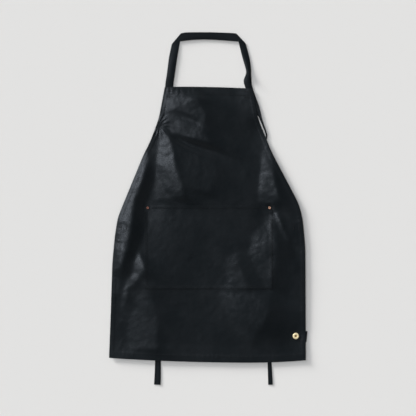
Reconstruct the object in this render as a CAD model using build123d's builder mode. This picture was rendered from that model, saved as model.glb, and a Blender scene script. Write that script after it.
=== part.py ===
from build123d import *
import math
import os

os.makedirs("parts", exist_ok=True)

# Bib apron lying flat, front up. Millimetres. +Y runs from the hem to the neck, +X to the viewer's right.
# The origin is the centre of the footprint without its ties, on the surface that the apron lies on.

# Overall
OVERALL_LENGTH = 1056.0  # hem to the top of the neck strap
HALF_WIDTH = 316.5
HEM_Y = -OVERALL_LENGTH / 2

# Cloth, hems and tape
CLOTH = 0.8
TAPE = 0.8
TIE_WIDTH = 22.0
SIDE_HEM = 12.0
BOTTOM_HEM = 22.0
BIB_HEM = 24.0
THREAD = 0.6
THREAD_HEIGHT = 0.3
TACK_LENGTH = 18.0
TACK_WIDTH = 1.2

# Heights above the surface
FIELD = 3.0  # underside of the single layer of cloth
TURN = FIELD - CLOTH  # underside of the turned hem
FRONT = FIELD + CLOTH  # front face of the cloth
NOTCH = 1.4  # the bottom hem arches this high over each tie
EDGE_GAP = 0.4  # between pieces that move apart
STRAP_LOW = TURN - TAPE  # underside of the straps and of the ties' sewn ends

# Cloth outline, each side from the bib down: x, and height above the lowest point of the hem
LEFT_SIDE = [
    (-138.9, 880.3), (-158.0, 779.0), (-187.0, 702.0), (-206.0, 666.0), (-289.0, 464.0), (-298.5, 405.0),
    (-306.6, 318.0), (-HALF_WIDTH, 15.0)
]
LEFT_BENDS = [400, 250, 400, 200, 500, 500]
RIGHT_SIDE = [
    (141.4, 874.9), (158.9, 781.0), (201.7, 671.0), (287.7, 508.2), (300.5, 460.2), (309.1, 365.8),
    (310.7, 7.7)
]
RIGHT_BENDS = [200, 250, 90, 120, 300]
BIB_TOP = (10.0, 880.0)
HEM_LOW = (135.0, 0.0)

# Pocket
POCKET_LEFT = -204.5
POCKET_RIGHT = 203.5
POCKET_BOTTOM = 236.2
POCKET_TOP = 504.3
POCKET_BORDER = 20.0  # sewn flat against the apron
POCKET_FOOT = 14.0
POCKET_GAPE = 5.0
POCKET_SLOPE = 24.0
POCKET_SEAM_INSET = 4.0
POCKET_HEM = 9.0
MOUTH_CUT = 5.0  # the pocket's room is cut this far past the mouth, to open it

# Rivets at the pocket's upper corners
RIVETS = [(-194.2, 494.1), (195.8, 494.1)]
RIVET_RADIUS = 5.0
RIVET_HEIGHT = 2.1
RIVET_DOME = 1.6
RIVET_POST = 1.5
HOLE_PLAY = 0.1
RUNNING = 0.05  # between parts that turn or are pressed together

# Ring-top button
BUTTON = (279.4, 84.8)
BUTTON_RADIUS = 10.0
BUTTON_CENTRE = 3.4
BUTTON_HEIGHT = 5.6
BUTTON_SOFTENING = 1.0  # chamfers of the ring's lower edge and inner edge
BUTTON_SHOULDER = 1.7  # chamfer of the ring's upper edge
SHANK_NECK = 2.0
SHANK_NECK_LENGTH = 2.4
SHANK_FOOT = 4.5
SHANK_FOOT_HEIGHT = 0.8
SHANK_LIP = 2.8
SHANK_LIP_HEIGHT = 0.6
TACK_RADIUS = 1.0
TACK_HEAD = 4.5
TACK_LENGTH_ABOVE = 3.0

# Label tab in the right side hem
LABEL_LOW = 65.0
LABEL_HIGH = 99.5
LABEL_START = 311.5
LABEL_BOTTOM = 2.4
LABEL_THICKNESS = 1.0

# Neck strap: the loop's two edges, its left end under the bib and its long right end behind the armhole
LOOP_OUTER = [
    (-137.9, 881.3), (-125.8, 975.4), (-116.8, 1016.3), (-88.0, 1051.0), (-57.3, 1055.0),
    (0, OVERALL_LENGTH), (57.9, 1054.0), (86.4, 1051.8), (107.8, 1033.0), (122.6, 1013.8),
    (132.5, 975.4), (137.9, 937.0), (140.2, 889.0), (142.5, 876.4)
]
LOOP_INNER = [
    (117.5, 878.4), (112.3, 898.6), (120.6, 927.4), (112.0, 956.2), (97.0, 1013.8), (94.1, 1025.0),
    (57.9, 1029.1), (-18.9, 1033.0), (-57.3, 1031.0), (-90.9, 1026.6), (-100.2, 975.4), (-113.5, 881.3)
]
LEFT_END = [(-137.5, 880.0), (-113.5, 880.2), (-108.0, 842.0), (-132.0, 838.6)]
RIGHT_END = [
    (117.5, 876.8), (142.5, 874.6), (147.5, 869.0), (162.2, 818.6), (171.2, 780.2),
    (179.3, 755.0), (189.0, 726.0), (186.5, 714.0), (184.0, 690.0), (177.5, 690.0),
    (181.5, 714.0), (183.7, 726.0), (178.0, 741.8), (170.6, 761.0), (162.2, 781.0),
    (137.0, 800.0)
]
STRAP_NOTCHES = [(-139.5, -104.0), (115.5, 160.0)]  # gaps in the bib hem that the strap ends lie in

# Waist ties: route of each centre line, from the waist corner to the tip below the hem
LEFT_HINGE_X = -289.0
RIGHT_HINGE_X = 299.0
TIE_END_LENGTH = 34.0
TIE_HEIGHT = 432.0  # above the hem, at the waist corners
TIE_NOTCHES = [(-178.0, -149.0), (183.0, 213.0)]  # gaps in the bottom hem that the ties lie in
LEFT_TIE = [
    (-287.4, TIE_HEIGHT), (-226, 435), (-140, 432), (-62, 410), (-12, 354), (-20, 283), (-76, 237),
    (-134, 190), (-164, 110), (-160, 15), (-163.5, -71.4)
]
RIGHT_TIE = [
    (297.4, TIE_HEIGHT), (240, 435), (157, 430), (78, 403), (28, 346), (32, 278), (86, 230),
    (152, 188), (192, 112), (195, 14), (198.5, -71.4)
]

# Seams: distance of each line of stitches from the edge that it follows
SIDE_SEAM = SIDE_HEM - 1.0
BOTTOM_SEAM = BOTTOM_HEM - 2.0
BIB_SEAM = BIB_HEM - 2.0
WAIST = 440.0  # the armhole seams end here and the side seams begin
SEAM_WINDOWS = {  # left, right, low and high limits of the seams that follow the sides
    "left_armhole_thread": (-HALF_WIDTH, 0, WAIST + 1, 855.0),
    "right_armhole_thread": (0, HALF_WIDTH, WAIST + 1, 850.0),
    "left_side_thread": (-HALF_WIDTH, 0, 2 * BOTTOM_SEAM, WAIST),
    "right_side_thread": (0, HALF_WIDTH, 2 * BOTTOM_SEAM, WAIST),
}
SEAM_END = SIDE_SEAM + 2.0  # the bib and bottom seams stop between the side seams
POCKET_SEAM_DROP = 18.0  # the pocket seam starts this far below the mouth, under the rivets
TACKS = {  # centre and turn of each bar tack
    "neck_strap_tacks": [(-124.0, 867.0, 0), (-121.5, 849.0, 0), (126.0, 866.0, 0), (123.0, 848.0, 0)],
    "waist_tie_tacks": [
        (-279.0, TIE_HEIGHT, 90), (-262.0, TIE_HEIGHT, 90), (289.0, TIE_HEIGHT, 90), (272.0, TIE_HEIGHT, 90)
    ],
}


def level(height):
    """Plane at a height above the surface, with y counted from the lowest point of the hem."""
    return Plane(origin=(0, HEM_Y, height))


def apron_outline(shift=0, mode=Mode.ADD):
    """The cloth's outline, drawn as lines and tangent arcs."""
    left = [(x, y + shift) for x, y in LEFT_SIDE]
    right = [(x, y + shift) for x, y in RIGHT_SIDE]
    low = (HEM_LOW[0], HEM_LOW[1] + shift)
    with BuildLine() as edge:
        FilletPolyline(*left, radius=LEFT_BENDS)
        FilletPolyline(*right, radius=RIGHT_BENDS)
        ThreePointArc(left[0], (BIB_TOP[0], BIB_TOP[1] + shift), right[0])
        TangentArc(low, left[-1], tangent=(-1, 0))
        TangentArc(low, right[-1], tangent=(1, 0))
    make_face(edge.edges(), mode=mode)


def window(left, right, low, high, mode=Mode.INTERSECT):
    """Rectangle given by its sides."""
    with Locations(((left + right) / 2, (low + high) / 2)):
        Rectangle(right - left, high - low, mode=mode)


def save(part, name):
    part.label = name
    export_step(part, f"parts/{name}.step")


with BuildPart() as apron_body:
    with BuildSketch(level(FIELD)):
        apron_outline()
    extrude(amount=CLOTH)
    # the turned edge lies under the whole outline
    with BuildSketch(level(TURN)):
        apron_outline()
        offset(amount=-SIDE_HEM, mode=Mode.SUBTRACT)
    extrude(amount=CLOTH)
    # the bib hem and the bottom hem are folded deeper and reach the surface
    with BuildSketch(level(0)):
        apron_outline()
        apron_outline(shift=-BIB_HEM, mode=Mode.SUBTRACT)
        window(-HALF_WIDTH, HALF_WIDTH, BIB_TOP[1] - 2 * BIB_HEM, OVERALL_LENGTH)
    extrude(amount=FIELD)
    with BuildSketch(level(0)):
        apron_outline()
        apron_outline(shift=BOTTOM_HEM, mode=Mode.SUBTRACT)
        window(-HALF_WIDTH, HALF_WIDTH, -BOTTOM_HEM, 2 * BOTTOM_HEM)
    extrude(amount=FIELD)
    # room for the strap ends and for the ties
    with BuildSketch(level(0)):
        for left, right in STRAP_NOTCHES:
            window(left, right, BIB_TOP[1] - 3 * BIB_HEM, OVERALL_LENGTH, mode=Mode.ADD)
    extrude(amount=TURN, mode=Mode.SUBTRACT)
    with BuildSketch(level(0)):
        for left, right in TIE_NOTCHES:
            window(left, right, -BOTTOM_HEM, 3 * BOTTOM_HEM, mode=Mode.ADD)
    extrude(amount=NOTCH, mode=Mode.SUBTRACT)
    # rivet and button holes
    with BuildSketch(level(TURN)):
        with Locations(*RIVETS):
            Circle(RIVET_POST + HOLE_PLAY)
        with Locations(BUTTON):
            Circle(TACK_RADIUS + HOLE_PLAY)
    extrude(amount=FRONT - TURN, mode=Mode.SUBTRACT)
save(apron_body.part, "apron_body")


# The pocket is sewn flat along its border, and its middle stands off the apron, open at the top
CROWN_SIDE = POCKET_BORDER + POCKET_SLOPE
CROWN_FOOT = POCKET_BOTTOM + POCKET_FOOT + POCKET_SLOPE
with BuildPart() as pocket_panel:
    with BuildSketch(level(FRONT)):
        window(POCKET_LEFT, POCKET_RIGHT, POCKET_BOTTOM, POCKET_TOP, mode=Mode.ADD)
    extrude(amount=CLOTH)
    for drop, top, mode in ((0, POCKET_TOP, Mode.ADD), (CLOTH, POCKET_TOP + MOUTH_CUT, Mode.SUBTRACT)):
        base_inset = POCKET_SLOPE * drop / (POCKET_GAPE + CLOTH)
        side = POCKET_BORDER + base_inset
        foot = POCKET_BOTTOM + POCKET_FOOT + base_inset
        with BuildSketch(level(FRONT)):
            window(POCKET_LEFT + side, POCKET_RIGHT - side, foot, top, mode=Mode.ADD)
        with BuildSketch(level(FRONT + POCKET_GAPE + CLOTH - drop)):
            window(POCKET_LEFT + CROWN_SIDE, POCKET_RIGHT - CROWN_SIDE, CROWN_FOOT, top, mode=Mode.ADD)
        loft(mode=mode)
    with BuildSketch(level(FRONT)):
        with Locations(*RIVETS):
            Circle(RIVET_POST + HOLE_PLAY)
    extrude(amount=CLOTH, mode=Mode.SUBTRACT)
save(pocket_panel.part, "pocket_panel")

with BuildPart() as neck_strap:
    with BuildSketch(level(STRAP_LOW)):
        with BuildLine():
            Polyline(*LOOP_OUTER, *LOOP_INNER, close=True)
        make_face()
    extrude(amount=TAPE)
save(neck_strap.part, "neck_strap")

for name, corners in (("neck_strap_left_end", LEFT_END), ("neck_strap_right_end", RIGHT_END)):
    with BuildPart() as strap_end:
        with BuildSketch(level(STRAP_LOW)):
            with BuildLine():
                Polyline(*corners, close=True)
            make_face()
        extrude(amount=TAPE)
    save(strap_end.part, name)


def bend_radii(route):
    """Largest arc that each corner of a route has room for."""
    radii = []
    for before, corner, after in zip(route, route[1:], route[2:]):
        first = Vector(*corner) - Vector(*before)
        second = Vector(*after) - Vector(*corner)
        half_turn = math.radians(first.get_angle(second)) / 2
        radii.append(0.45 * min(first.length, second.length) / math.tan(half_turn))
    return radii


for name, route in (("waist_tie_left", LEFT_TIE), ("waist_tie_right", RIGHT_TIE)):
    radii = bend_radii(route)
    with BuildPart() as waist_tie:
        with BuildSketch(level(0)):
            with BuildLine() as centre_line:
                FilletPolyline(*route, radius=radii)
            trace(line_width=TIE_WIDTH)
        extrude(amount=TAPE)
    save(waist_tie.part, name)
    tie_length = centre_line.wires()[0].length
    ideal = tie_length * TIE_WIDTH * TAPE
    print(name, "length", round(tie_length, 1), "volume ratio", round(waist_tie.part.volume / ideal, 4))
    print("  bend radii", [round(radius) for radius in radii])

for name, hinge_x, inward in (
    ("waist_tie_left_end", LEFT_HINGE_X, 1),
    ("waist_tie_right_end", RIGHT_HINGE_X, -1),
):
    with BuildPart() as tie_end:
        with BuildSketch(level(STRAP_LOW)):
            with Locations((hinge_x + inward * (EDGE_GAP + TIE_END_LENGTH / 2), TIE_HEIGHT)):
                Rectangle(TIE_END_LENGTH, TIE_WIDTH)
        extrude(amount=TAPE)
    save(tie_end.part, name)

with BuildPart() as side_label:
    with BuildSketch(level(LABEL_BOTTOM)):
        window(LABEL_START, HALF_WIDTH, LABEL_LOW, LABEL_HIGH, mode=Mode.ADD)
    extrude(amount=LABEL_THICKNESS)
save(side_label.part, "side_label")

# Rivets: a domed cap with its post, set over a washer behind the cloth
CAP_BASE = FRONT + CLOTH
with BuildPart() as rivet_caps:
    with BuildSketch(level(CAP_BASE)):
        with Locations(*RIVETS):
            Circle(RIVET_RADIUS)
    extrude(amount=RIVET_HEIGHT)
    fillet(rivet_caps.edges().group_by(Axis.Z)[-1], radius=RIVET_DOME)
    with BuildSketch(level(TURN)):
        with Locations(*RIVETS):
            Circle(RIVET_POST)
    extrude(amount=CAP_BASE - TURN)
save(rivet_caps.part, "pocket_rivet_caps")

with BuildPart() as rivet_washers:
    with BuildSketch(level(TURN)):
        with Locations(*RIVETS):
            Circle(RIVET_RADIUS)
            Circle(RIVET_POST + RUNNING, mode=Mode.SUBTRACT)
    extrude(amount=FIELD - TURN)
save(rivet_washers.part, "pocket_rivet_washers")


def turned(corners, name):
    """A round piece on the button's axis, from radius and height pairs."""
    x, y = BUTTON
    with BuildPart() as piece:
        with BuildSketch(Plane(origin=(x, y + HEM_Y, 0), x_dir=(1, 0, 0), z_dir=(0, -1, 0))):
            with BuildLine():
                Polyline(*corners, close=True)
            make_face()
        revolve(axis=Axis((x, y + HEM_Y, 0), (0, 0, 1)))
    save(piece.part, name)


# Button: the tack nail comes through the cloth into the shank, and the ring cap turns on the shank's neck
FOOT_TOP = FRONT + SHANK_FOOT_HEIGHT
RING_LOW = FOOT_TOP + EDGE_GAP
RING_HIGH = FRONT + BUTTON_HEIGHT
LIP_LOW = FOOT_TOP + SHANK_NECK_LENGTH
LIP_HIGH = LIP_LOW + SHANK_LIP_HEIGHT
HUB_HIGH = LIP_LOW - EDGE_GAP
TACK_HIGH = FRONT + TACK_LENGTH_ABOVE
BORE = TACK_RADIUS + RUNNING
HUB_BORE = SHANK_NECK + RUNNING
turned([
    (0, TURN), (TACK_HEAD, TURN), (TACK_HEAD, FIELD),
    (TACK_RADIUS, FIELD), (TACK_RADIUS, TACK_HIGH), (0, TACK_HIGH)
], "button_tack")
turned([
    (BORE, FRONT), (SHANK_FOOT, FRONT), (SHANK_FOOT, FOOT_TOP),
    (SHANK_NECK, FOOT_TOP), (SHANK_NECK, LIP_LOW),
    (SHANK_LIP, LIP_LOW), (SHANK_LIP, LIP_HIGH), (0, LIP_HIGH),
    (0, TACK_HIGH + RUNNING), (BORE, TACK_HIGH + RUNNING)
], "button_shank")
turned([
    (HUB_BORE, RING_LOW), (BUTTON_RADIUS - BUTTON_SOFTENING, RING_LOW),
    (BUTTON_RADIUS, RING_LOW + BUTTON_SOFTENING), (BUTTON_RADIUS, RING_HIGH - BUTTON_SHOULDER),
    (BUTTON_RADIUS - BUTTON_SHOULDER, RING_HIGH), (BUTTON_CENTRE + BUTTON_SOFTENING, RING_HIGH),
    (BUTTON_CENTRE, RING_HIGH - BUTTON_SOFTENING), (BUTTON_CENTRE, HUB_HIGH), (HUB_BORE, HUB_HIGH)
], "button_cap")

# Threads: each seam is a line of stitches, drawn as a thin rib on the face that it shows on
for name, sides in SEAM_WINDOWS.items():
    with BuildPart() as seam:
        with BuildSketch(level(FRONT)):
            apron_outline()
            offset(amount=-(SIDE_SEAM - THREAD / 2), mode=Mode.REPLACE)
            offset(amount=-THREAD, mode=Mode.SUBTRACT)
            window(*sides)
        extrude(amount=THREAD_HEIGHT)
    save(seam.part, name)

for name, shift, inner_shift, low, high in (
    ("bib_hem_thread", -BIB_SEAM, -BIB_SEAM - THREAD, BIB_TOP[1] - 2 * BIB_SEAM, BIB_TOP[1]),
    ("bottom_hem_thread", BOTTOM_SEAM, BOTTOM_SEAM + THREAD, 0, 2 * BOTTOM_SEAM),
):
    with BuildPart() as seam:
        with BuildSketch(level(FRONT)):
            apron_outline(shift=shift)
            apron_outline(shift=inner_shift, mode=Mode.SUBTRACT)
            window(-HALF_WIDTH, HALF_WIDTH, low, high)
        extrude(amount=THREAD_HEIGHT)
        # only what lies well inside the cloth's edge is sewn
        with BuildSketch(level(FRONT)):
            apron_outline()
            offset(amount=-SEAM_END, mode=Mode.REPLACE)
        extrude(amount=THREAD_HEIGHT, mode=Mode.INTERSECT)
    save(seam.part, name)

with BuildPart() as pocket_seam:
    with BuildSketch(level(FRONT + CLOTH)):
        inset = POCKET_SEAM_INSET
        seam_top = POCKET_TOP - POCKET_SEAM_DROP
        window(POCKET_LEFT + inset, POCKET_RIGHT - inset, POCKET_BOTTOM + inset, seam_top, Mode.ADD)
        inset = POCKET_SEAM_INSET + THREAD
        window(POCKET_LEFT + inset, POCKET_RIGHT - inset, POCKET_BOTTOM + inset, POCKET_TOP, Mode.SUBTRACT)
    extrude(amount=THREAD_HEIGHT)
save(pocket_seam.part, "pocket_seam_thread")

with BuildPart() as pocket_hem:
    with BuildSketch(level(FRONT + POCKET_GAPE + CLOTH)):
        low = POCKET_TOP - POCKET_HEM
        window(POCKET_LEFT + CROWN_SIDE, POCKET_RIGHT - CROWN_SIDE, low, low + THREAD, mode=Mode.ADD)
    extrude(amount=THREAD_HEIGHT)
save(pocket_hem.part, "pocket_hem_thread")

# Bar tacks hold the strap ends and the ties
for name, places in TACKS.items():
    with BuildPart() as tacks:
        with BuildSketch(level(FRONT)):
            for x, y, turn in places:
                with Locations(Location((x, y, 0), (0, 0, turn))):
                    Rectangle(TACK_LENGTH, TACK_WIDTH)
        extrude(amount=THREAD_HEIGHT)
    save(tacks.part, name)
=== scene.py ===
import math

import bpy
import numpy as np
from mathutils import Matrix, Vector


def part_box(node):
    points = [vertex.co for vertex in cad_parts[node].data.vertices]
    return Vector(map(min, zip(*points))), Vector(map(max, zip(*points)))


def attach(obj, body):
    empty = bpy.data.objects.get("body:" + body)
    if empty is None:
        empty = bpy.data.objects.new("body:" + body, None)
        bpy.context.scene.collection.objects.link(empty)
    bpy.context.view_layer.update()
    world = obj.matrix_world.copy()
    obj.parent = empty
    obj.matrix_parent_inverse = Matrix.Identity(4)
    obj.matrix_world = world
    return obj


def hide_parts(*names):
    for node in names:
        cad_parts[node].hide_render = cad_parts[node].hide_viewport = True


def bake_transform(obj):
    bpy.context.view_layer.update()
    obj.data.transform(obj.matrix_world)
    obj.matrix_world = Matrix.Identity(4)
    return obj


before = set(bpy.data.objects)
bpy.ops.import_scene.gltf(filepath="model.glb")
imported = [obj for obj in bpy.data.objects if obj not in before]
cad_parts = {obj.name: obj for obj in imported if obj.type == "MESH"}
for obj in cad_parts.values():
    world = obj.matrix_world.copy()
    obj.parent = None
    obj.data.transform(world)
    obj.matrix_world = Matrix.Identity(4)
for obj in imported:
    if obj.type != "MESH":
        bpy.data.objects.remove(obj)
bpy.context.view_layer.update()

# ---------------------------------------------------------------- frame and sizes
# Lengths here are millimetres. y is counted up from the lowest point of the hem.
MM = 0.001
HEM_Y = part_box("apron_body")[0].y
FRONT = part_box("apron_body")[1].z / MM  # front face of the flat cloth
LENGTH = 880.0
CLOTH = 0.9
SIDE_HEM = 12.0
BOTTOM_HEM = 22.0
BIB_HEM = 23.0
RNG = np.random.default_rng(21)


def metres(points):
    """Points in millimetres, y from the hem, as metres in the frame."""
    points = np.asarray(points, float) * MM
    points[..., 1] += HEM_Y
    return points


def smoothstep(low, high, value):
    t = np.clip((value - low) / (high - low), 0, 1)
    return t * t * (3 - 2 * t)


# ---------------------------------------------------------------- the cloth's outline
LEFT_SIDE = [
    (-138.9, 880.3), (-158.0, 779.0), (-187.0, 702.0), (-206.0, 666.0), (-289.0, 464.0), (-298.5, 405.0),
    (-306.6, 318.0), (-316.5, 15.0)
]
RIGHT_SIDE = [
    (141.4, 874.9), (158.2, 781.0), (201.7, 671.0), (287.7, 508.2), (300.5, 460.2), (309.1, 365.8),
    (310.7, 7.7)
]
BIB_TOP = (10.0, 880.0)
HEM_LOW_X = 135.0
HEM_SLOW = 6802.0  # radii of the hem's two arcs
HEM_QUICK = 2008.0
CORNER_EASE = 13  # how softly the outline turns its corners
TOP_CURVE = np.polyfit(*zip(LEFT_SIDE[0], BIB_TOP, RIGHT_SIDE[0]), 2)
ROWS = np.arange(-40.0, 940.0, 1.0)


def blurred_line(values, sigma):
    """A gaussian average along a list, straight on past its ends."""
    reach = int(3 * sigma)
    kernel = np.exp(-0.5 * (np.arange(-reach, reach + 1) / sigma) ** 2)
    steps = np.arange(1, reach + 1)
    before = values[0] - (values[1] - values[0]) * steps[::-1]
    after = values[-1] + (values[-1] - values[-2]) * steps
    return np.convolve(np.concatenate([before, values, after]), kernel / kernel.sum(), "valid")


def side_line(corners):
    """x of one side of the cloth at each row, with its corners rounded."""
    corners = sorted(corners, key=lambda p: p[1])
    (x0, y0), (x1, y1) = corners[0], corners[1]
    (x2, y2), (x3, y3) = corners[-2], corners[-1]
    low = (x0 + (x1 - x0) * (ROWS[0] - y0) / (y1 - y0), ROWS[0])
    high = (x3 + (x3 - x2) * (ROWS[-1] - y3) / (y3 - y2), ROWS[-1])
    xs, ys = zip(low, *corners, high)
    return blurred_line(np.interp(ROWS, ys, xs), CORNER_EASE)


LEFT_LINE = side_line(LEFT_SIDE)
RIGHT_LINE = side_line(RIGHT_SIDE)


def left_x(y):
    return np.interp(y, ROWS, LEFT_LINE)


def right_x(y):
    return np.interp(y, ROWS, RIGHT_LINE)


def hem_y(x):
    radius = np.where(x < HEM_LOW_X, HEM_SLOW, HEM_QUICK)
    return (x - HEM_LOW_X) ** 2 / (2 * radius)


def top_y(x):
    return np.polyval(TOP_CURVE, x)


# ---------------------------------------------------------------- the lie of the cloth
# A raster of heights over the apron's footprint. Bright facets face up and left; each is a patch where the
# cloth climbs towards the lower right, and it falls away again behind the patch.
CELL = 2.0
RASTER_X = np.arange(-340.0, 341.0, CELL)
RASTER_Y = np.arange(-30.0, 921.0, CELL)
GRID_X, GRID_Y = np.meshgrid(RASTER_X, RASTER_Y)
FACETS = {
    "bib_low": (1.15, [
        (-153, 758), (-127, 730), (-114, 690), (-101, 628), (-82, 560), (-82, 530), (-120, 524),
        (-150, 560), (-166, 610), (-161, 679)
    ]),
    "bib_low_foot": (0.50, [
        (-161, 640), (-150, 560), (-115, 522), (-190, 520), (-172, 580)
    ]),
    "bib_high": (0.74, [
        (-146, 790), (-100, 810), (-40, 838), (-8, 800), (-12, 738), (6, 700), (-72, 714), (-126, 738),
        (-146, 770)
    ]),
    "bib_top": (1.00, [
        (-142, 886), (-46, 888), (-30, 840), (-100, 808), (-146, 786)
    ]),
    "bib_middle": (0.36, [
        (-112, 700), (-60, 684), (10, 664), (30, 600), (0, 540), (-70, 560)
    ]),
    "left_edge": (1.56, [
        (-192, 676), (-240, 600), (-302, 470), (-312, 367), (-308, 285), (-284, 300), (-259, 360),
        (-247, 427), (-237, 519), (-219, 563), (-206, 604), (-190, 660)
    ]),
    "left_edge_foot": (0.50, [
        (-297, 372), (-302, 200), (-288, 220), (-274, 330)
    ]),
    "left_crease": (1.36, [
        (-224, 356), (-207, 322), (-201, 296), (-238, 250), (-258, 235), (-264, 205), (-279, 165),
        (-276, 220), (-262, 266), (-238, 290), (-234, 320)
    ]),
    "left_skirt": (0.50, [
        (-218, 262), (-200, 262), (-176, 200), (-161, 130), (-166, 37), (-250, 40), (-262, 90),
        (-236, 180)
    ]),
    "right_bib": (1.02, [
        (184, 716), (168, 640), (161, 546), (163, 511), (196, 498), (224, 518), (216, 587), (198, 678)
    ]),
    "right_bib_foot": (1.15, [
        (159, 566), (206, 566), (222, 530), (206, 514), (162, 514)
    ]),
    "right_crease": (1.60, [
        (206, 505), (218, 480), (258, 388), (250, 388), (210, 470)
    ]),
    "pocket_right": (0.92, [
        (189, 477), (208, 480), (212, 422), (221, 381), (214, 319), (200, 240), (192, 233), (160, 285),
        (128, 350), (134, 404), (170, 432)
    ]),
    "pocket_middle": (0.60, [
        (93, 360), (62, 333), (56, 250), (30, 232), (100, 228), (134, 240), (100, 305)
    ]),
    "below_pocket": (0.74, [
        (34, 226), (203, 226), (196, 175), (182, 133), (148, 85), (134, 48), (93, 92), (62, 154)
    ]),
    "centre_left": (0.06, [
        (-130, 470), (-60, 480), (-40, 400), (-90, 330), (-120, 380)
    ]),
}
CREASES = {
    "bib_dimple": (0.35, [
        (-125, 806), (-80, 800), (-66, 784), (-84, 776), (-120, 788)
    ]),
    "bib_top_line": (0.12, [
        (-150, 800), (-104, 818), (-66, 842), (-60, 848), (-72, 848), (-108, 828), (-150, 808)
    ]),
    "bib_line": (1.00, [
        (-128, 732), (-110, 712), (-76, 694), (20, 672), (20, 680), (-74, 704), (-104, 722)
    ]),
    "left_valley": (0.90, [
        (-186, 645), (-168, 600), (-180, 520), (-196, 440), (-214, 380), (-250, 320), (-258, 340),
        (-243, 427), (-231, 515), (-213, 563), (-200, 604)
    ]),
    "right_valley": (0.60, [
        (224, 500), (232, 470), (262, 400), (290, 330), (262, 330), (240, 420)
    ]),
}
GATHER = (-160.0, 757.0)  # the armhole point that short wrinkles run out from
GATHER_COUNT = 15.0
GATHER_MIDDLE = 20.0  # they are tallest this far out
GATHER_REACH = 16.0
SLIT = (168.0, 752.0)  # the opening between the right armhole and the strap's end
SLIT_DROP = 1.9  # the cloth lies this much lower beside the slit
CLIMB = 0.140  # slope of the brightest facets
CLIMB_DOWN = -0.45  # how far the climb's direction runs down the apron for each step to the right
FALL_LENGTH = 60.0  # the cloth settles behind a facet over this length
TALLEST = 15.0
FACET_EDGE = 4.0  # softness of the borders of facets, creases and folds
CREASE_EDGE = 3.0
FOLD_EDGE = 3.5
RESTING = 0.8  # the cloth stands this far off its flat place all over
SIDE_BULGE = 3.4  # the left side swells below the waist, about this point and over these reaches
SIDE_BULGE_AT = (-279.0, 314.0)
SIDE_BULGE_REACH = (24.0, 58.0)
METAL_HOLLOW = 45.0  # reach of the dips round rivets, button and slit
RIVET_FLAT = 16.0  # the cloth is smooth within this far of each rivet, and of the button
BUTTON_FLAT = 26.0
SLIT_REACH = 32.0
EDGE_LIFT = 2.0  # the right side and the hem stand off the surface
TURNED = 0.35  # a turned hem stands up this much
HEM_EDGE = 3.0  # half the width of a turned hem's step


def inside(polygon, x, y):
    """1 where a point is inside the polygon."""
    found = np.zeros(x.shape, bool)
    for (x1, y1), (x2, y2) in zip(polygon, polygon[1:] + polygon[:1]):
        if y1 == y2:
            continue
        across = (x < (x2 - x1) * (y - y1) / (y2 - y1) + x1) & ((y1 > y) != (y2 > y))
        found ^= across
    return found.astype(float)


def blurred(field, sigma):
    """A gaussian blur of a raster, sigma in millimetres."""
    pad = int(3 * sigma / CELL) + 1
    wide = np.pad(field, pad, mode="edge")
    fy = np.fft.fftfreq(wide.shape[0])[:, None]
    fx = np.fft.rfftfreq(wide.shape[1])[None, :]
    low_pass = np.exp(-2 * (math.pi * sigma / CELL) ** 2 * (fx * fx + fy * fy))
    out = np.fft.irfft2(np.fft.rfft2(wide) * low_pass, s=wide.shape)
    return out[pad:-pad, pad:-pad]


def noise_field(sigma, stretch=1.0):
    """Soft noise with a standard deviation of 1; stretch draws it out along y."""
    field = RNG.normal(size=GRID_X.shape)
    fy = np.fft.fftfreq(field.shape[0])[:, None] * stretch
    fx = np.fft.rfftfreq(field.shape[1])[None, :]
    low_pass = np.exp(-2 * (math.pi * sigma / CELL) ** 2 * (fx * fx + fy * fy))
    field = np.fft.irfft2(np.fft.rfft2(field) * low_pass, s=field.shape)
    return field / field.std()


def climbed(light):
    """Heights of a cloth that climbs where light is 1, and settles again beyond it."""
    height = np.zeros_like(light)
    column = height[:, 0]
    step = CELL * math.hypot(1, CLIMB_DOWN)
    for i in range(1, light.shape[1]):
        carried = np.interp(RASTER_Y - CLIMB_DOWN * CELL, RASTER_Y, column)
        settle = np.exp(-step * np.clip(1 - light[:, i], 0, 1.5) / FALL_LENGTH)
        column = np.maximum(carried * settle + CLIMB * step * light[:, i], 0)
        height[:, i] = column
    return height


def edge_distances(x, y):
    """Distances in from the left side, right side, hem and bib top."""
    lean_left = np.gradient(LEFT_LINE, ROWS)
    lean_right = np.gradient(RIGHT_LINE, ROWS)
    left = (x - left_x(y)) / np.hypot(1, np.interp(y, ROWS, lean_left))
    right = (right_x(y) - x) / np.hypot(1, np.interp(y, ROWS, lean_right))
    return left, right, y - hem_y(x), top_y(x) - y


def hollow(points, radius):
    """0 at each point, rising to 1 outside radius: keeps the cloth flat where metal sits on it."""
    keep = np.ones_like(GRID_X)
    for x, y in points:
        keep *= smoothstep(0.45 * radius, radius, np.hypot(GRID_X - x, GRID_Y - y))
    return keep


def lowered(field, points, reach):
    """A field brought down to nothing at each point, gently over its reach."""
    for x, y in points:
        here = sample(field, x, y)
        field = field - here * np.exp(-(((GRID_X - x) ** 2 + (GRID_Y - y) ** 2) / reach**2))
    return field


def sample(field, x, y):
    """A raster's value at points, by bilinear interpolation."""
    u = np.clip((np.asarray(x, float) - RASTER_X[0]) / CELL, 0, len(RASTER_X) - 1.001)
    v = np.clip((np.asarray(y, float) - RASTER_Y[0]) / CELL, 0, len(RASTER_Y) - 1.001)
    i, j = u.astype(int), v.astype(int)
    a, b = u - i, v - j
    low = field[j, i] * (1 - a) + field[j, i + 1] * a
    high = field[j + 1, i] * (1 - a) + field[j + 1, i + 1] * a
    return low * (1 - b) + high * b


def centre_of(node):
    """x and y of the middle of a CAD node, in millimetres."""
    low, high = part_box(node)
    return (low.x + high.x) / 2 / MM, ((low.y + high.y) / 2 - HEM_Y) / MM


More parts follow.
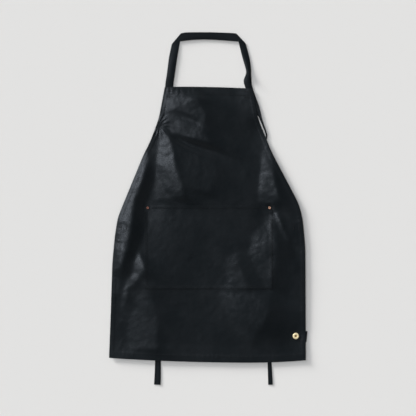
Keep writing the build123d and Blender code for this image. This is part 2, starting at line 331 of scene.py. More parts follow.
CAPS_LOW, CAPS_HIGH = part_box("pocket_rivet_caps")
RIVET_RADIUS = (CAPS_HIGH.y - CAPS_LOW.y) / 2 / MM
RIVET_Y = centre_of("pocket_rivet_caps")[1]
RIVETS = [(CAPS_LOW.x / MM + RIVET_RADIUS, RIVET_Y), (CAPS_HIGH.x / MM - RIVET_RADIUS, RIVET_Y)]
BUTTON = centre_of("button_cap")

light = np.zeros_like(GRID_X)
for strength, polygon in FACETS.values():
    light = np.maximum(light, strength * blurred(inside(polygon, GRID_X, GRID_Y), FACET_EDGE))
light = light * (1 + 0.04 * noise_field(9.0) + 0.05 * noise_field(22.0))
for strength, polygon in CREASES.values():
    light = light - strength * blurred(inside(polygon, GRID_X, GRID_Y), CREASE_EDGE)
folds = blurred(climbed(light), FOLD_EDGE)
folds = TALLEST * np.tanh(folds / TALLEST)
bulge_u = (GRID_X - SIDE_BULGE_AT[0]) / SIDE_BULGE_REACH[0]
bulge_v = (GRID_Y - SIDE_BULGE_AT[1]) / SIDE_BULGE_REACH[1]
bulge = SIDE_BULGE * np.exp(-(bulge_u**2) - bulge_v**2)
broad = 0.8 * noise_field(70.0, 1.6)
crumple = 0.15 * noise_field(14.0, 1.3) + 0.11 * noise_field(6.0) + 0.055 * noise_field(3.0)
folds = folds + bulge + np.clip(broad, -RESTING, 2.0) + RESTING

LEFT_D, RIGHT_D, HEM_D, TOP_D = edge_distances(GRID_X, GRID_Y)
from_edges = np.minimum(RIGHT_D, np.minimum(HEM_D, TOP_D))
settle = 0.5 + 0.5 * smoothstep(0.0, 45.0, from_edges)
lifted = EDGE_LIFT * (1 - smoothstep(0.0, 60.0, np.minimum(RIGHT_D, HEM_D)))
folds = lowered(folds * settle + lifted, RIVETS + [BUTTON, SLIT], METAL_HOLLOW)
flat_spots = hollow(RIVETS, RIVET_FLAT) * hollow([BUTTON], BUTTON_FLAT)
folds = np.maximum(folds, 0) * flat_spots


def puckers(distance, seam, along, pitch, height, reach):
    """Short ripples across a seam, strongest on it."""
    wander_at = np.arange(-50.0, 1000.0, 17.0)
    strength_at = np.arange(-50.0, 1000.0, 31.0)
    wander = np.interp(along, wander_at, RNG.uniform(-2.2, 2.2, len(wander_at)))
    strength = np.interp(along, strength_at, RNG.uniform(0.15, 1.0, len(strength_at)))
    wave = 0.5 + 0.5 * np.sin(2 * math.pi * along / pitch + wander)
    return height * strength * wave * np.exp(-(((distance - seam) / reach) ** 2))


def hem_step(distance, width):
    """The turned cloth's extra height within a hem's width of its edge."""
    return TURNED * (1 - smoothstep(width - HEM_EDGE, width + HEM_EDGE, distance))


along_x = GRID_X - RASTER_X[0]
bib_puckers = puckers(TOP_D, BIB_HEM * 0.5, along_x, pitch=16.0, height=0.45, reach=10.0)
seams = (
    bib_puckers * (0.15 + 0.85 * smoothstep(20, -60, GRID_X))  # they fade out to the right
    + puckers(LEFT_D, SIDE_HEM * 0.8, GRID_Y, pitch=12.0, height=0.28, reach=7.0)
    + puckers(RIGHT_D, SIDE_HEM * 0.8, GRID_Y + 5, pitch=12.5, height=0.35, reach=8.0)
    + puckers(HEM_D, BOTTOM_HEM * 0.8, along_x, pitch=14.0, height=0.25, reach=10.0)
)
gather_x, gather_y = GRID_X - GATHER[0], GRID_Y - GATHER[1]
gather_r = np.hypot(gather_x, gather_y)
gather_turn = np.arctan2(gather_y, gather_x)
gather_wave = 0.5 + 0.5 * np.sin(GATHER_COUNT * gather_turn + 0.06 * gather_r)
gathers = gather_wave * np.exp(-(((gather_r - GATHER_MIDDLE) / GATHER_REACH) ** 2))
gathers *= smoothstep(4.0, 12.0, gather_r)
turned = hem_step(np.minimum(LEFT_D, RIGHT_D), SIDE_HEM)
turned = np.maximum(turned, hem_step(TOP_D, BIB_HEM))
turned = np.maximum(turned, hem_step(HEM_D, BOTTOM_HEM))
detail = (crumple * (0.4 + 0.6 * np.clip(light, 0, 1)) + seams + gathers) * flat_spots
slit_r2 = (GRID_X - SLIT[0]) ** 2 + (GRID_Y - SLIT[1]) ** 2
slit_dip = SLIT_DROP * np.exp(-slit_r2 / SLIT_REACH**2)
HEIGHTS = FRONT + folds + detail + turned * flat_spots - slit_dip


def front_z(x, y):
    return sample(HEIGHTS, x, y)


# ---------------------------------------------------------------- mesh helpers
RIM_ROUND = 0.30  # a sheet's rim stands out by this share of its thickness


def new_mesh(name, points, faces):
    """A smooth-shaded object from points in millimetres and faces."""
    mesh = bpy.data.meshes.new(name)
    mesh.from_pydata(metres(points).tolist(), [], faces)
    mesh.validate()
    mesh.shade_smooth()
    obj = bpy.data.objects.new(name, mesh)
    bpy.context.scene.collection.objects.link(obj)
    return obj


def grid_faces(rows, columns, start=0, flip=False):
    """Quads of a grid whose points run along its columns first."""
    j, i = np.meshgrid(np.arange(rows - 1), np.arange(columns - 1), indexing="ij")
    a = start + (j * columns + i).ravel()
    quads = np.stack([a, a + 1, a + 1 + columns, a + columns], 1)
    return (quads[:, ::-1] if flip else quads).tolist()


def rim_indices(rows, columns):
    """The border of a grid, in order round it."""
    bottom = list(range(columns))
    right = [j * columns + columns - 1 for j in range(1, rows)]
    top = [(rows - 1) * columns + i for i in range(columns - 2, -1, -1)]
    left = [j * columns for j in range(rows - 2, 0, -1)]
    return bottom + right + top + left


def shell(name, top, thickness):
    """A closed thin sheet with a rounded rim: top is rows x columns x 3, thickness rows x columns."""
    rows, columns = top.shape[:2]
    under = top.copy()
    under[..., 2] -= thickness
    count = rows * columns
    rim = rim_indices(rows, columns)
    flat_top = top.reshape(-1, 3)
    flat_under = under.reshape(-1, 3)
    middle = (flat_top[rim] + flat_under[rim]) / 2
    inward = np.roll(middle, 1, 0) - np.roll(middle, -1, 0)
    outward = np.stack([-inward[:, 1], inward[:, 0], np.zeros(len(rim))], 1)
    outward /= np.maximum(np.linalg.norm(outward, axis=1, keepdims=True), 1e-9)
    middle += outward * RIM_ROUND * thickness.reshape(-1)[rim][:, None]
    points = np.concatenate([flat_top, flat_under, middle])
    faces = grid_faces(rows, columns) + grid_faces(rows, columns, count, flip=True)
    for k, here in enumerate(rim):
        after = (k + 1) % len(rim)
        faces.append([rim[after], here, 2 * count + k, 2 * count + after])
        faces.append([2 * count + after, 2 * count + k, count + here, count + rim[after]])
    obj = new_mesh(name, points, faces)
    obj.data.set_sharp_from_angle(angle=math.radians(40))
    return obj


# ---------------------------------------------------------------- materials
def material(name, color, roughness, **sockets):
    mat = bpy.data.materials.new(name)
    mat.use_nodes = True
    shader = mat.node_tree.nodes["Principled BSDF"]
    shader.inputs["Base Color"].default_value = (*color, 1)
    shader.inputs["Roughness"].default_value = roughness
    for socket, value in sockets.items():
        shader.inputs[socket.replace("_", " ")].default_value = value
    return mat, mat.node_tree, shader


def node(tree, kind, **values):
    made = tree.nodes.new(kind)
    for key, value in values.items():
        if key in made.inputs:
            made.inputs[key].default_value = value
        else:
            setattr(made, key, value)
    return made


def ramp(tree, source, low, high, low_value, high_value):
    """A float mapped from one range to another."""
    made = node(tree, "ShaderNodeMapRange")
    made.inputs["From Min"].default_value = low
    made.inputs["From Max"].default_value = high
    made.inputs["To Min"].default_value = low_value
    made.inputs["To Max"].default_value = high_value
    tree.links.new(source, made.inputs["Value"])
    return made.outputs["Result"]


def math_node(tree, operation, a, b):
    made = node(tree, "ShaderNodeMath", operation=operation)
    for slot, value in zip(made.inputs, (a, b)):
        if isinstance(value, (int, float)):
            slot.default_value = value
        else:
            tree.links.new(value, slot)
    return made.outputs[0]


def object_coordinates(tree):
    return node(tree, "ShaderNodeTexCoord").outputs["Object"]


def texture(tree, coords, kind, **values):
    """The grey value of a noise or wave texture."""
    made = node(tree, f"ShaderNodeTex{kind}", **values)
    tree.links.new(coords, made.inputs["Vector"])
    return made.outputs["Fac"]


MIX_FIRST, MIX_SECOND = 6, 7  # colour sockets of a Mix node
MIX_RESULT = 2


def mixed(tree, factor, first, second):
    """The first colour, turning into the second as the factor rises."""
    mix = node(tree, "ShaderNodeMix", data_type="RGBA")
    tree.links.new(factor, mix.inputs["Factor"])
    mix.inputs[MIX_FIRST].default_value = (*first, 1)
    mix.inputs[MIX_SECOND].default_value = (*second, 1)
    return mix.outputs[MIX_RESULT]


def bumped(tree, height, strength, distance, over=None):
    """The normal of a bump, on its own or laid over another bump's normal."""
    bump = node(tree, "ShaderNodeBump", Strength=strength, Distance=distance)
    tree.links.new(height, bump.inputs["Height"])
    if over is not None:
        tree.links.new(over, bump.inputs["Normal"])
    return bump.outputs["Normal"]


WEAVE = 1500.0  # scale of the wave textures that draw the cloth's threads


def cloth_material(name, color, bloom, roughness, wrinkle, shine):
    """Waxed cotton: fine plain weave, soft handling wrinkles, cloudy wax bloom."""
    mat, tree, shader = material(name, color, roughness, Specular_IOR_Level=shine)
    links = tree.links
    coords = object_coordinates(tree)
    clouds = texture(tree, coords, "Noise", Scale=11.0, Detail=6.0, Roughness=0.62)
    wrinkles = texture(tree, coords, "Noise", noise_type="RIDGED_MULTIFRACTAL", Scale=34.0, Detail=4.0,
                       Roughness=0.5)
    grain = texture(tree, coords, "Noise", Scale=260.0, Detail=3.0, Roughness=0.6)
    warp = texture(tree, coords, "Wave", bands_direction="X", Scale=WEAVE, Distortion=0.6)
    weft = texture(tree, coords, "Wave", bands_direction="Y", Scale=WEAVE, Distortion=0.6)
    threads = math_node(tree, "MAXIMUM", warp, weft)

    cloudy = ramp(tree, clouds, 0.40, 0.75, 0.0, 0.5)
    grainy = ramp(tree, grain, 0.3, 0.7, 0.5, 1.0)
    worn = math_node(tree, "MULTIPLY", cloudy, grainy)
    links.new(mixed(tree, worn, color, bloom), shader.inputs["Base Color"])
    dulled = ramp(tree, clouds, 0.3, 0.7, roughness - 0.03, roughness + 0.04)
    speckled = ramp(tree, grain, 0.3, 0.7, -0.02, 0.02)
    links.new(math_node(tree, "ADD", dulled, speckled), shader.inputs["Roughness"])

    fine = bumped(tree, threads, 0.2, 0.00012)
    rough = bumped(tree, grain, 0.2, 0.0003, over=fine)
    folded = bumped(tree, wrinkles, 1.0, wrinkle, over=rough)
    links.new(folded, shader.inputs["Normal"])
    return mat


def metal_material(name, color, roughness, tarnish, metallic=1.0):
    """Metal with patches of tarnish and fine scratches."""
    mat, tree, shader = material(name, color, roughness, Metallic=metallic)
    coords = object_coordinates(tree)
    patches = texture(tree, coords, "Noise", Scale=320.0, Detail=5.0, Roughness=0.6)
    scratches = texture(tree, coords, "Noise", Scale=2600.0, Detail=3.0)
    stained = ramp(tree, patches, 0.4, 0.75, 0.0, 0.8)
    tree.links.new(mixed(tree, stained, color, tarnish), shader.inputs["Base Color"])
    dulled = ramp(tree, patches, 0.3, 0.7, roughness - 0.06, roughness + 0.12)
    tree.links.new(dulled, shader.inputs["Roughness"])
    tree.links.new(bumped(tree, scratches, 0.15, 0.0001), shader.inputs["Normal"])
    return mat


def thread_material(name, color):
    """Sewing thread with a raised twist, its raised bands painted paler as a painted highlight."""
    mat, tree, shader = material(name, color, 0.5, Specular_IOR_Level=0.35)
    coords = object_coordinates(tree)
    twist = texture(tree, coords, "Wave", bands_direction="DIAGONAL", Scale=900.0, Distortion=1.0)
    # the raised bands of the twist are painted paler than the thread: a painted highlight
    twist_highlight_color = [1.8 * c for c in color]
    highlighted_twist = mixed(tree, ramp(tree, twist, 0.0, 1.0, 0.0, 0.6), color, twist_highlight_color)
    tree.links.new(highlighted_twist, shader.inputs["Base Color"])
    tree.links.new(bumped(tree, twist, 0.4, 0.0001), shader.inputs["Normal"])
    return mat


INK = (0.0046, 0.0066, 0.0082)
STRAP_INK = (0.0045, 0.0064, 0.0080)
LABEL_INK = (0.0045, 0.0055, 0.0065)
BLOOM = (0.0105, 0.0125, 0.0145)
LABEL_BLOOM = (0.009, 0.010, 0.012)
WAXED = cloth_material("waxed_cotton", INK, BLOOM, roughness=0.31, wrinkle=0.0004, shine=0.26)
STRAP_CLOTH = cloth_material("strap_cotton", STRAP_INK, BLOOM, roughness=0.36, wrinkle=0.0002, shine=0.14)
LABEL_CLOTH = cloth_material("label_cloth", LABEL_INK, LABEL_BLOOM, roughness=0.6, wrinkle=0.00005,
                             shine=0.2)
THREAD = thread_material("black_thread", (0.006, 0.0068, 0.008))
BRASS = metal_material("button_brass", (1.0, 0.86, 0.54), 0.42, (0.95, 0.76, 0.42), metallic=0.55)
COPPER = metal_material("copper_rivet", (0.90, 0.52, 0.36), 0.45, (0.50, 0.24, 0.15))
# a copy of the copper painted darker as painted shade, for the left rivet that catches no highlight; the
# right rivet has the plain copper
SHADED_COPPER = metal_material("shaded_copper", (0.34, 0.15, 0.11), 0.42, (0.16, 0.06, 0.05))
# darker than the ring's brass, so the button's centre shows dark
TACK_METAL = metal_material("tack_metal", (0.50, 0.27, 0.09), 0.40, (0.34, 0.17, 0.06))


def paint(obj, mat):
    obj.data.materials.clear()
    obj.data.materials.append(mat)
    return obj


# ---------------------------------------------------------------- apron body
BODY_STEP = 3.0
BODY_WIDTH = 626.0
LEVELLING = 160.0  # the grid's rows ease into the curves of hem and bib top over this length
HEM_CLOTH = 0.9  # extra thickness of the turned hems


def body_grid():
    """x and y of the cloth's points, in rows from the hem to the bib top."""
    columns = int(BODY_WIDTH / BODY_STEP)
    rows = int(LENGTH / BODY_STEP)
    t = np.linspace(0, 1, rows)
    s = np.linspace(0, 1, columns)
    base = t * LENGTH
    x = left_x(base)[:, None] + (right_x(base) - left_x(base))[:, None] * s[None, :]
    near_hem = (1 - smoothstep(0, LEVELLING, base))[:, None]
    near_top = smoothstep(LENGTH - LEVELLING, LENGTH, base)[:, None]
    y = base[:, None] + hem_y(x) * near_hem + (top_y(x) - LENGTH) * near_top
    return x, y


body_x, body_y = body_grid()
left_d, right_d, hem_d, top_d = edge_distances(body_x, body_y)
body_edge = np.minimum(np.minimum(left_d, right_d), np.minimum(hem_d, top_d))
body_top = np.stack([body_x, body_y, front_z(body_x, body_y)], -1)
body_thickness = CLOTH + HEM_CLOTH * (1 - smoothstep(SIDE_HEM - 1, SIDE_HEM + 2, body_edge))
apron = paint(shell("apron_cloth", body_top, body_thickness), WAXED)
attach(apron, "apron")
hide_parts("apron_body")


# ---------------------------------------------------------------- pocket
POCKET_LOW, POCKET_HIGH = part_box("pocket_panel")
POCKET_LEFT, POCKET_RIGHT = POCKET_LOW.x / MM, POCKET_HIGH.x / MM
POCKET_BOTTOM, POCKET_TOP = (POCKET_LOW.y - HEM_Y) / MM, (POCKET_HIGH.y - HEM_Y) / MM
POCKET_GAPE = 1.1
POCKET_CLOTH = 0.8
POCKET_COLUMNS = 150
POCKET_ROWS = 100


def pocket_gape(x, y):
    """How far the pocket stands off the apron: nothing at its sewn edges, most at the mouth."""
    side = np.minimum(x - POCKET_LEFT, POCKET_RIGHT - x)
    foot = y - POCKET_BOTTOM
    across = smoothstep(12, 90, side)
    up = smoothstep(10, 250, foot)
    return POCKET_GAPE * across * up


def off_rivets(x, y):
    """0 under each rivet, rising to 1 around it."""
    keep = np.ones_like(x)
    for rx, ry in RIVETS:
        keep = keep * smoothstep(6.0, 14.0, np.hypot(x - rx, y - ry))
    return keep


def pocket_z(x, y):
    """Height of the pocket's front, with its folded edges and its mouth's hem."""
    side = np.minimum(np.minimum(x - POCKET_LEFT, POCKET_RIGHT - x), y - POCKET_BOTTOM)
    fold = 0.25 * (1 - smoothstep(6, 10, side)) * off_rivets(x, y)
    hem = TURNED * smoothstep(POCKET_TOP - 13, POCKET_TOP - 8, y) * off_rivets(x, y)
    return front_z(x, y) + POCKET_CLOTH + pocket_gape(x, y) + np.maximum(fold, hem)


pocket_s = np.linspace(POCKET_LEFT, POCKET_RIGHT, POCKET_COLUMNS)
pocket_t = np.linspace(POCKET_BOTTOM, POCKET_TOP, POCKET_ROWS)
pocket_x, pocket_y = np.meshgrid(pocket_s, pocket_t)
pocket_top = np.stack([pocket_x, pocket_y, pocket_z(pocket_x, pocket_y)], -1)
pocket = paint(shell("pocket_cloth", pocket_top, np.full(pocket_x.shape, POCKET_CLOTH)), WAXED)
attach(pocket, "apron")
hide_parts("pocket_panel")


# ---------------------------------------------------------------- neck strap and ties
def resampled(points, count):
    """Evenly spaced points along a polyline, corners slightly eased."""
    points = np.asarray(points, float)
    lengths = np.concatenate([[0], np.cumsum(np.linalg.norm(np.diff(points[:, :2], axis=0), axis=1))])
    where = np.linspace(0, lengths[-1], count)
    out = [np.interp(where, lengths, column) for column in points.T]
    ease = 5.0 * count / lengths[-1]
    return np.stack([blurred_line(column, ease) for column in out], 1)


def strip_points(inner, outer, count, across=9):
    """Rows of points between two edges: inner has x, y, z and the tape's arch, outer x, y, z."""
    first, second = resampled(inner, count), resampled(outer, count)
    u = np.linspace(0, 1, across)
    rows = first[:, None, :3] * (1 - u)[None, :, None] + second[:, None, :] * u[None, :, None]
    rows[..., 2] += first[:, 3:] * (4 * u * (1 - u))[None, :]
    return rows


STRAP_THICKNESS = 1.5
left_leg = strip_points(
    [
        (-108.0, 842.0, 2.5, 0.0), (-113.5, 875.0, 2.6, 0.2), (-112.2, 892.0, 2.8, 0.5),
        (-108.5, 918, 3.4, 0.8), (-100.2, 975.4, 3.6, 1.0), (-92.0, 1022.0, 2.6, 0.5),
        (-88.0, 1052.0, 2.0, 0.2)
    ],
    [
        (-132.0, 838.6, 2.5), (-137.9, 875.0, 2.6), (-137.5, 892.0, 2.6), (-133, 918, 3.0),
        (-125.8, 975.4, 3.0), (-118.5, 1010.0, 2.4), (-116.6, 1018.0, 2.0)
    ],
    count=90
)[:, ::-1]
top_run = strip_points(
    [
        (-116.6, 1018.0, 3.7, 0.2), (-91.5, 1026.6, 3.9, 0.4), (-57.3, 1031.0, 3.6, 0.8),
        (-18.9, 1033.0, 3.4, 1.0), (20.0, 1031.8, 3.3, 1.0), (57.9, 1029.1, 3.5, 0.8),
        (97.5, 1026.0, 4.0, 0.4), (118.9, 1020.0, 3.7, 0.2)
    ],
    [
        (-88.0, 1052.0, 3.7), (-76.0, 1055.0, 3.8), (-57.3, 1055.6, 3.6), (-20, 1055.9, 3.2),
        (10.0, 1055.7, 3.2), (57.9, 1054.0, 3.3), (75.0, 1053.2, 3.8), (89.0, 1051.8, 3.7)
    ],
    count=110
)
right_leg = strip_points(
    [
        (89.0, 1051.8, 2.0, 0.2), (97.0, 1025.0, 2.4, 0.4), (99.8, 1012.0, 2.8, 0.6),
        (106.4, 984.0, 3.2, 1.2), (113.8, 958.0, 3.4, 3.0), (119.9, 938.0, 3.6, 6.0),
        (121.6, 927.0, 3.6, 6.8), (118.5, 916.5, 3.4, 3.4), (112.4, 904.5, 3.2, 1.6),
        (112.6, 894.0, 3.0, 1.4), (116.5, 884.0, 2.6, 0.8), (120.0, 872.0, 2.4, 0.1),
        (126.0, 840.0, 2.4, 0.0), (139.0, 806.0, 2.0, 0.0), (152.0, 796.5, 1.7, 0.0),
        (159.0, 790.0, 1.7, 0.4), (165.2, 775.0, 1.7, 0.6), (171.6, 760.0, 1.7, 0.6),
        (178.7, 741.8, 1.7, 0.6), (184.6, 726.0, 1.7, 0.4), (180.0, 700.0, 1.7, 0.0)
    ],
    [
        (118.9, 1020.0, 2.0), (127.0, 991.0, 2.6), (131.5, 973.0, 2.8), (135.2, 950.0, 3.2),
        (136.3, 938.0, 3.6), (136.4, 928.0, 3.6), (136.9, 917.0, 3.4), (137.3, 908.0, 3.2),
        (137.7, 898.0, 3.0), (138.4, 888.0, 2.8), (141.5, 877.0, 2.6), (144.5, 868.0, 2.5),
        (151.5, 848.0, 3.4), (162.2, 818.6, 4.2), (168.4, 793.0, 4.4), (170.6, 783.0, 4.4),
        (174.0, 771.0, 4.4), (178.6, 757.5, 4.4), (184.6, 740.0, 4.0), (189.4, 726.0, 3.2),
        (184.5, 702.0, 2.0)
    ],
    count=220
)


def joined_shells(name, strips, thickness):
    """Several strips of one tape, as one mesh."""
    parts = []
    for k, strip in enumerate(strips):
        parts.append(shell(f"{name}_{k}", strip, np.full(strip.shape[:2], thickness)))
        parts[-1].select_set(True)
    with bpy.context.temp_override(active_object=parts[0], selected_editable_objects=parts):
        bpy.ops.object.join()
    parts[0].name = name
    return parts[0]


neck_strap = joined_shells("neck_strap_cloth", [left_leg, top_run, right_leg], STRAP_THICKNESS)
paint(neck_strap, STRAP_CLOTH)
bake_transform(neck_strap)
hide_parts("neck_strap", "neck_strap_left_end", "neck_strap_right_end")

LEFT_TIE = [
    (-287.4, 432), (-226, 435), (-140, 432), (-62, 410), (-12, 354), (-20, 283), (-76, 237),
    (-134, 190), (-164, 110), (-160, 15), (-163.5, -71.4)
]
RIGHT_TIE = [
    (297.4, 432), (240, 435), (157, 430), (78, 403), (28, 346), (32, 278), (86, 230),
    (152, 188), (192, 112), (195, 14), (198.5, -71.4)
]
TIE_WIDTH = 22.0
TIE_THICKNESS = 1.05
TIE_FOLD = 0.55  # extra thickness of the edge that is folded over
TIE_MIDDLE = 0.75
TIE_CROWN = 0.12  # how far the tape arches across, and how far its edges wave
SEWN_END_THICKNESS = 0.7
TIE_CLEAR = 0.15  # its underside is this far off the surface
SHOWN = 71.4  # length of each tie that shows below the hem


def route_line(name, route):
    """Points along the smooth line of a tie's route, in metres."""
    curve = bpy.data.curves.new(name, "CURVE")
    curve.dimensions = "3D"
    curve.resolution_u = 24
    spline = curve.splines.new("NURBS")
    spline.points.add(len(route) - 1)
    for point, (x, y) in zip(spline.points, route):
        point.co = (x * MM, HEM_Y + y * MM, TIE_MIDDLE * MM, 1)
    spline.order_u = 3
    spline.use_endpoint_u = True
    holder = bpy.data.objects.new(name, curve)
    bpy.context.scene.collection.objects.link(holder)
    mesh = bpy.data.meshes.new_from_object(holder)
    line = np.array([v.co for v in mesh.vertices])
    bpy.data.objects.remove(holder)
    bpy.data.meshes.remove(mesh)
    return line


def tie_rows(line, tip_width, hem_width):
    """A flat tape's points and thickness along a line, with one edge folded over near its tip."""
    line = line / MM
    line[:, 1] -= HEM_Y / MM
    run = np.gradient(line, axis=0)
    run /= np.linalg.norm(run, axis=1, keepdims=True)
    side = np.stack([-run[:, 1], run[:, 0], np.zeros(len(line))], 1)
    u = np.linspace(-1, 1, 11)
    travelled = np.concatenate([[0], np.cumsum(np.linalg.norm(np.diff(line, axis=0), axis=1))])
    to_tip = travelled[-1] - travelled
    width = np.interp(to_tip, [0, SHOWN, 2 * SHOWN], [tip_width, hem_width, 1.0])
    half = TIE_WIDTH / 2
    folded = (1 - smoothstep(SHOWN, 2 * SHOWN, to_tip))[:, None] * smoothstep(-0.2, 0.2, u)[None, :]
    thickness = TIE_THICKNESS + TIE_FOLD * folded
    rows = line[:, None, :] + side[:, None, :] * (half * width)[:, None, None] * u[None, :, None]
    wave = TIE_CROWN * np.sin(to_tip / 9.0)[:, None] * (u * u)[None, :]
    rows[..., 2] = TIE_CLEAR + thickness + TIE_CROWN * (1 - u * u)[None, :] + np.maximum(wave, 0)
    return rows, thickness


def sewn_end(side):
    """The end of a tie that is sewn behind the waist corner."""
    low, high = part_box(f"waist_tie_{side}_end")
    low, high = low / MM, high / MM
    ends_x = np.linspace(low.x, high.x, 14)
    ends_y = np.linspace(low.y, high.y, 9) - HEM_Y / MM
    end_x, end_y = np.meshgrid(ends_x, ends_y)
    end_z = np.full(end_x.shape, high.z - 0.05) + 0.15 * np.sin(end_x * 0.7) * np.sin(end_y * 0.5)
    points = np.stack([end_x, end_y, end_z], -1)
    return shell(f"waist_tie_{side}_sewn_end", points, np.full(end_x.shape, SEWN_END_THICKNESS))


# Each tie's widths, at its tip and at the hem, are shares of its full width.
for side, route, tip_width, hem_width in (("left", LEFT_TIE, 0.95, 0.84), ("right", RIGHT_TIE, 0.66, 0.57)):
    line = route_line(f"{side}_tie_route", route)
    rows, thickness = tie_rows(line.copy(), tip_width, hem_width)
    tie = paint(shell(f"waist_tie_{side}_cloth", rows, thickness), STRAP_CLOTH)
    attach(tie, f"{side}_tie")
    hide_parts(f"waist_tie_{side}")
    end = paint(sewn_end(side), STRAP_CLOTH)
    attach(end, "apron")
    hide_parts(f"waist_tie_{side}_end")


# ---------------------------------------------------------------- stitches
STITCH = 3.0
STITCH_PITCH = 3.9
STITCH_RADIUS = 0.30
STITCH_SIDES = 6
TACK_PITCH = 0.75
TACK_ZIGZAG = 0.12
TACK_LENGTH = 18
TACK_WIDTH = 2.4


def seam(points):
    """The stitches along a line of (x, y): centre, direction and length of each."""
    points = np.asarray(points, float)
    lengths = np.concatenate([[0], np.cumsum(np.linalg.norm(np.diff(points, axis=0), axis=1))])
    where = np.arange(STITCH_PITCH / 2, lengths[-1] - STITCH / 2, STITCH_PITCH)
    centres = np.stack([np.interp(where, lengths, points[:, k]) for k in (0, 1)], 1)
    ahead = np.stack([np.interp(where + 0.5, lengths, points[:, k]) for k in (0, 1)], 1)
    runs = ahead - centres
    runs /= np.linalg.norm(runs, axis=1, keepdims=True)
    runs += RNG.normal(scale=0.05, size=(len(runs), 1)) * np.stack([-runs[:, 1], runs[:, 0]], 1)
    return [(centre, run, STITCH) for centre, run in zip(centres, runs)]


def bar_tack(x, y, angle, length, width):
    """Close short stitches side by side, in a bar."""
    along = np.array([math.cos(angle), math.sin(angle)])
    across = np.array([-along[1], along[0]])
    count = int(length / TACK_PITCH)
    found = []
    for k in range(count + 1):
        centre = np.array([x, y]) + along * (k - count / 2) * TACK_PITCH
        found.append((centre, across + TACK_ZIGZAG * (-1) ** k * along, width))
    return found


def bar_tacks(bars, angle):
    """A bar of stitches at each (x, y)."""
    found = []
    for x, y in bars:
        found += bar_tack(x, y, angle, TACK_LENGTH, TACK_WIDTH)
    return found


def stitches(name, segments, z_of, node_name):
    """Every stitch as a small rounded bar that dips into the cloth at both ends."""
    stations = np.array([-0.5, -0.38, -0.15, 0.15, 0.38, 0.5])  # places along a stitch
    swell = np.array([0.45, 0.95, 1.0, 1.0, 0.95, 0.45])  # its thickness there
    dip = np.array([-0.45, -0.02, 0.16, 0.16, -0.02, -0.45])  # and its height
    ring = np.linspace(0, 2 * math.pi, STITCH_SIDES + 1)[:-1]
    n = len(ring)
    points, faces = [], []
    for centre, run, length in segments:
        across = np.array([-run[1], run[0]])
        start = len(points)
        for t, grow, sink in zip(stations, swell, dip):
            middle = centre + run * length * t
            top = float(z_of(middle[0], middle[1])) + sink
            for angle in ring:
                offset = across * math.cos(angle) * STITCH_RADIUS * grow
                points.append((middle[0] + offset[0], middle[1] + offset[1],
                               top + math.sin(angle) * STITCH_RADIUS * grow))
        for k in range(len(stations) - 1):
            for m in range(n):
                a, b = start + k * n + m, start + k * n + (m + 1) % n
                faces.append([a, b, b + n, a + n])
        faces.append([start + m for m in range(n)][::-1])
        faces.append([start + (len(stations) - 1) * n + m for m in range(n)])
    obj = paint(new_mesh(name, np.array(points), faces), THREAD)
    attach(obj, "apron")
    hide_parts(node_name)


def side_seam(line_x, inward, low, high):
    """The line of a seam down one side, an even distance in from its edge."""
    rows = np.arange(low, high, 4.0)
    lean = np.interp(rows, ROWS, np.gradient(line_x, ROWS))
    inset = (SIDE_HEM - 1) * np.hypot(1, lean)
    return np.stack([np.interp(rows, ROWS, line_x) + inward * inset, rows], 1)


WAIST = 440.0  # the armhole seams run up from here and the side seams down
seam_x = np.arange(-300.0, 296.0, 6.0)
bib_x = np.arange(-126.0, 132.0, 6.0)
bib_line = np.stack([bib_x, top_y(bib_x) - BIB_HEM + 1], 1)
hem_line = np.stack([seam_x, hem_y(seam_x) + BOTTOM_HEM - 2], 1)
stitches("bib_hem_stitches", seam(bib_line), front_z, "bib_hem_thread")
stitches("bottom_hem_stitches", seam(hem_line), front_z, "bottom_hem_thread")
for name, line_x, inward, low, high in (
    ("left_armhole", LEFT_LINE, 1, WAIST, 868), ("right_armhole", RIGHT_LINE, -1, WAIST, 864),
    ("left_side", LEFT_LINE, 1, 20, WAIST), ("right_side", RIGHT_LINE, -1, 14, WAIST),
):
    stitches(f"{name}_stitches", seam(side_seam(line_x, inward, low, high)), front_z, f"{name}_thread")
pocket_segments = []
for inset in (3.0, 8.5):
    left, right = POCKET_LEFT + inset, POCKET_RIGHT - inset
    top, foot = POCKET_TOP - 18, POCKET_BOTTOM + inset
    pocket_segments += seam([(left, top), (left, foot), (right, foot), (right, top)])
stitches("pocket_seam_stitches", pocket_segments, pocket_z, "pocket_seam_thread")
mouth_line = [(POCKET_LEFT + 4, POCKET_TOP - 10), (POCKET_RIGHT - 4, POCKET_TOP - 10)]
stitches("pocket_hem_stitches", seam(mouth_line), pocket_z, "pocket_hem_thread")
strap_bars = bar_tacks([(-124, 867), (-121.5, 849), (126, 866), (123, 848)], 0)
stitches("neck_strap_tack_stitches", strap_bars, front_z, "neck_strap_tacks")
tie_bars = bar_tacks([(-279, 432), (-262, 432), (289, 432), (272, 432)], math.pi / 2)
stitches("waist_tie_tack_stitches", tie_bars, front_z, "waist_tie_tacks")


# ---------------------------------------------------------------- label tab
LABEL_LOW, LABEL_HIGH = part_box("side_label")
LABEL_ROOT = 4.0  # length that is caught in the hem
LABEL_MIDDLE = 3.1
LABEL_THICKNESS = 0.9
label_s = np.linspace(-LABEL_ROOT, (LABEL_HIGH.x - LABEL_LOW.x) / MM, 16)
label_t = np.linspace(0, (LABEL_HIGH.y - LABEL_LOW.y) / MM, 22)
label_u, label_v = np.meshgrid(label_s, label_t)
label_x = LABEL_LOW.x / MM + label_u
label_y = (LABEL_LOW.y - HEM_Y) / MM + label_v
label_x = label_x - 0.02 * (label_t[-1] - label_v) * np.clip(label_u, 0, None)
label_z = LABEL_MIDDLE + 0.25 * np.sin(label_v * 0.35) * np.clip(label_u, 0, None) / 4
label_top = np.stack([label_x, label_y, label_z], -1)
label = paint(shell("side_label_tab", label_top, np.full(label_x.shape, LABEL_THICKNESS)), LABEL_CLOTH)
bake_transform(label)
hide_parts("side_label")


